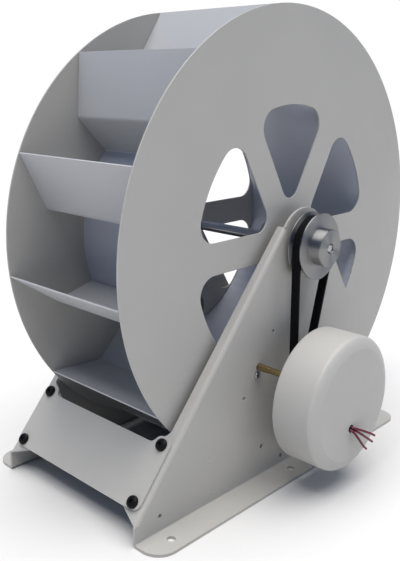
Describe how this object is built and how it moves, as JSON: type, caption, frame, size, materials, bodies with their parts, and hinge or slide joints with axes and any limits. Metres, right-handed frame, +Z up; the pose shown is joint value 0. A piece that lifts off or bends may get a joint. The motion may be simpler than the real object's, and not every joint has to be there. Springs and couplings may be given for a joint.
{
  "type": "micro hydro generator",
  "caption": "Small overshot water wheel on a folded sheet stand, driving a round generator on its side by a toothed belt.",
  "frame": {"origin": "on the floor under the middle of the machine's box, measured without the three leads", "axes": "+Z up, the wheel's shaft along Y, the generator on the -Y side, the front cover towards -X"},
  "size_m": [0.5, 0.3483, 0.511],
  "materials": {
    "white_paint": "satin white powder coat on steel sheet",
    "housing_paint": "matt white coat on a cast housing",
    "aluminium": "bright turned aluminium",
    "steel": "ground steel",
    "black_steel": "black oxide screws",
    "brass": "turned brass",
    "belt_rubber": "black rubber belt",
    "lead_sleeve": "dark red insulation"
  },
  "bodies": {
    "frame": {"side_plate_near": "white_paint", "side_plate_far": "white_paint", "front_cover": "white_paint", "rear_cover": "white_paint", "cover_screw_front_1": "black_steel", "cover_screw_front_2": "black_steel", "cover_screw_front_3": "black_steel", "cover_screw_front_4": "black_steel", "cover_screw_rear_1": "black_steel", "cover_screw_rear_2": "black_steel", "cover_screw_rear_3": "black_steel", "cover_screw_rear_4": "black_steel", "bearing_near": "steel", "bearing_far": "steel", "generator_housing": "housing_paint", "lead_grommet": "belt_rubber", "generator_pillar_1": "brass", "generator_pillar_2": "brass", "generator_pillar_3": "brass", "plate_screw": "steel", "drive_belt": "belt_rubber", "lead_1": "lead_sleeve", "lead_2": "lead_sleeve", "lead_3": "lead_sleeve"},
    "wheel": {"disc_near": "white_paint", "disc_far": "white_paint", "drum": "white_paint", "bucket_01": "white_paint", "bucket_02": "white_paint", "bucket_03": "white_paint", "bucket_04": "white_paint", "bucket_05": "white_paint", "bucket_06": "white_paint", "bucket_07": "white_paint", "bucket_08": "white_paint", "bucket_09": "white_paint", "bucket_10": "white_paint", "bucket_11": "white_paint", "bucket_12": "white_paint", "hub_near": "steel", "hub_far": "steel", "wheel_shaft": "steel", "drive_pulley": "aluminium"},
    "rotor": {"generator_shaft": "steel", "generator_pulley": "aluminium"}
  },
  "joints": [
    {"name": "wheel_turn", "type": "hinge", "parent": "frame", "child": "wheel", "pos_m": [0, 0.02985, 0.261], "axis": [0, -1, 0], "continuous": true},
    {"name": "rotor_turn", "type": "hinge", "parent": "frame", "child": "rotor", "pos_m": [-0.0175, 0.02985, 0.102], "axis": [0, -1, 0], "continuous": true}
  ],
  "couplings": [
    {"joint": "rotor_turn", "follows": "wheel_turn", "ratio": 3.3333}
  ]
}
